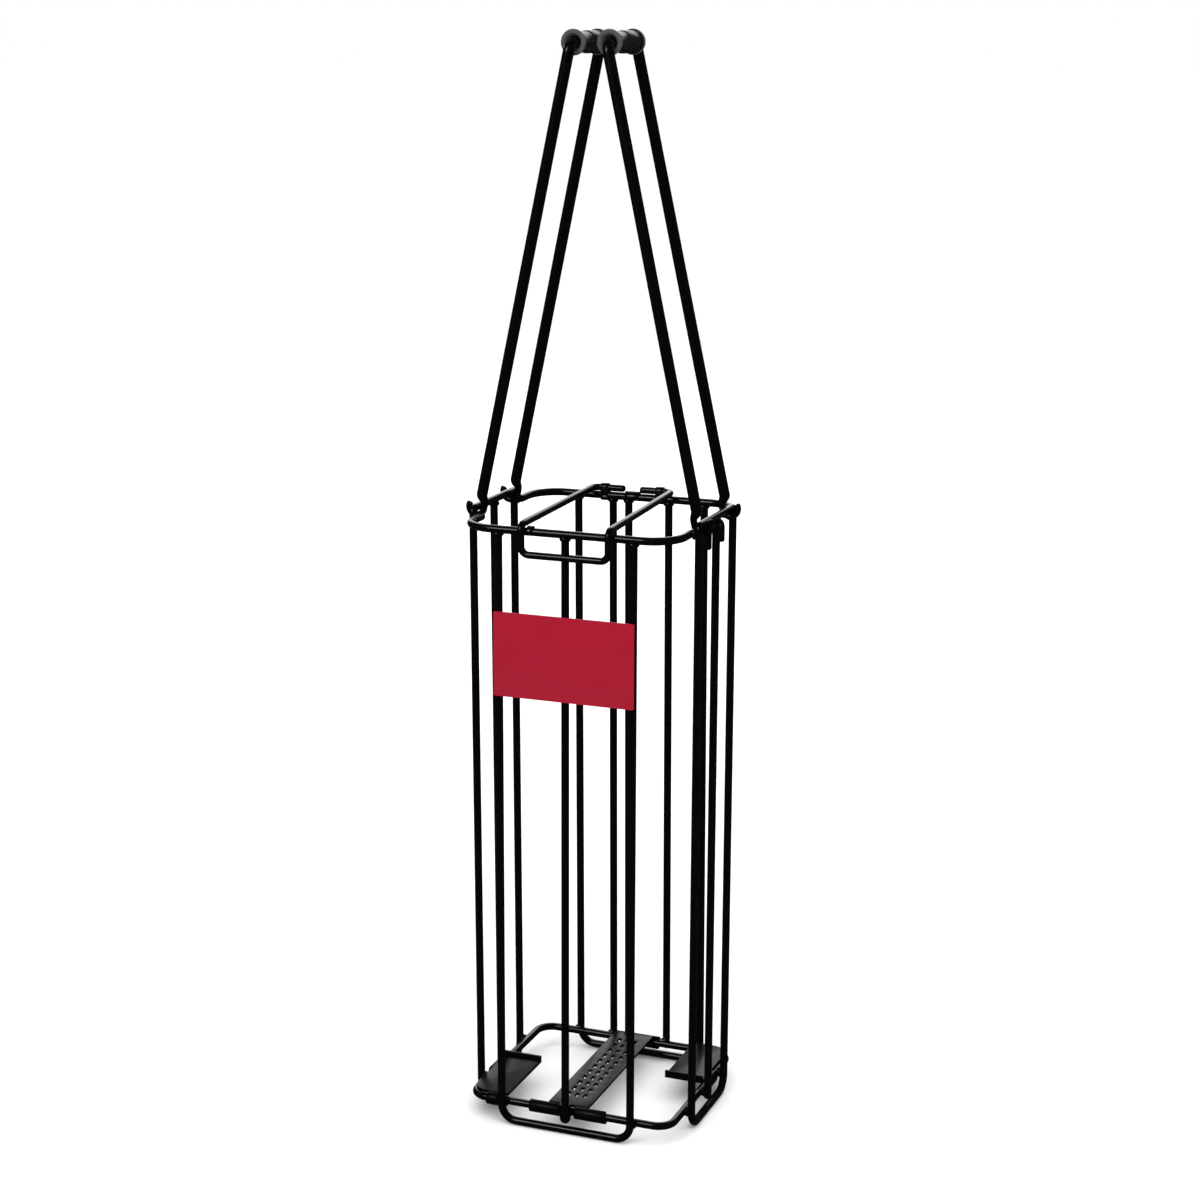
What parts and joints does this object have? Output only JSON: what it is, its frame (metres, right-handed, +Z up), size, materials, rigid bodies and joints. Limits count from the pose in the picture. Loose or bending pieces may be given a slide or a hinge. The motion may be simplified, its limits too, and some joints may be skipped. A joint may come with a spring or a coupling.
{
  "type": "ball hopper",
  "caption": "Tall wire basket for picking up and carrying balls, with a hinged wire lid, a slotted floor strip and two swinging carrying handles with turning grips.",
  "frame": {"origin": "on the floor, under the middle of the part's plan outline", "axes": "+X to the right of someone who faces the front plate, +Y from the front plate to the lid's hinge at the rear, +Z up"},
  "size_m": [0.1632, 0.1377, 0.6846],
  "materials": {
    "coated_wire": "satin black powder coat",
    "grip_plastic": "satin moulded",
    "floor_plastic": "fine matt moulded",
    "crimson_plate": "satin, bare"
  },
  "bodies": {
    "basket": {"front_rim": "coated_wire", "rear_rim": "coated_wire", "bottom_ring": "coated_wire", "front_u_wire": "coated_wire", "rear_u_wire": "coated_wire", "left_side_frame": "coated_wire", "right_side_frame": "coated_wire", "front_centre_wire": "coated_wire", "rear_centre_wire": "coated_wire", "left_centre_wire": "coated_wire", "right_centre_wire": "coated_wire", "rear_inner_wire_left": "coated_wire", "rear_inner_wire_right": "coated_wire", "left_lid_clip": "coated_wire", "right_lid_clip": "coated_wire", "lid_keeper": "coated_wire", "lid_stop": "coated_wire", "right_bracket": "coated_wire", "centre_floor_strip": "floor_plastic", "right_floor_wing": "floor_plastic", "left_floor_wing": "floor_plastic", "front_plate": "crimson_plate"},
    "left_handle": {"left_handle": "coated_wire"},
    "right_handle": {"right_handle": "coated_wire"},
    "left_grip": {"left_grip": "grip_plastic"},
    "right_grip": {"right_grip": "grip_plastic"},
    "lid": {"lid_wire": "coated_wire"}
  },
  "joints": [
    {"name": "left_handle_swing", "type": "hinge", "parent": "basket", "child": "left_handle", "pos_m": [-0.07452, 0, 0.394], "axis": [0, -1, 0], "range_deg": [0, 180]},
    {"name": "right_handle_swing", "type": "hinge", "parent": "basket", "child": "right_handle", "pos_m": [0.07452, 0, 0.394], "axis": [0, 1, 0], "range_deg": [0, 180]},
    {"name": "left_grip_turn", "type": "hinge", "parent": "left_handle", "child": "left_grip", "pos_m": [-0.0115, 0, 0.677], "axis": [0, 1, 0], "continuous": true},
    {"name": "right_grip_turn", "type": "hinge", "parent": "right_handle", "child": "right_grip", "pos_m": [0.0115, 0, 0.677], "axis": [0, 1, 0], "continuous": true},
    {"name": "lid_swing", "type": "hinge", "parent": "basket", "child": "lid", "pos_m": [-0.004, 0.0625, 0.39405], "axis": [-1, 0, 0], "range_deg": [0, 190]}
  ]
}
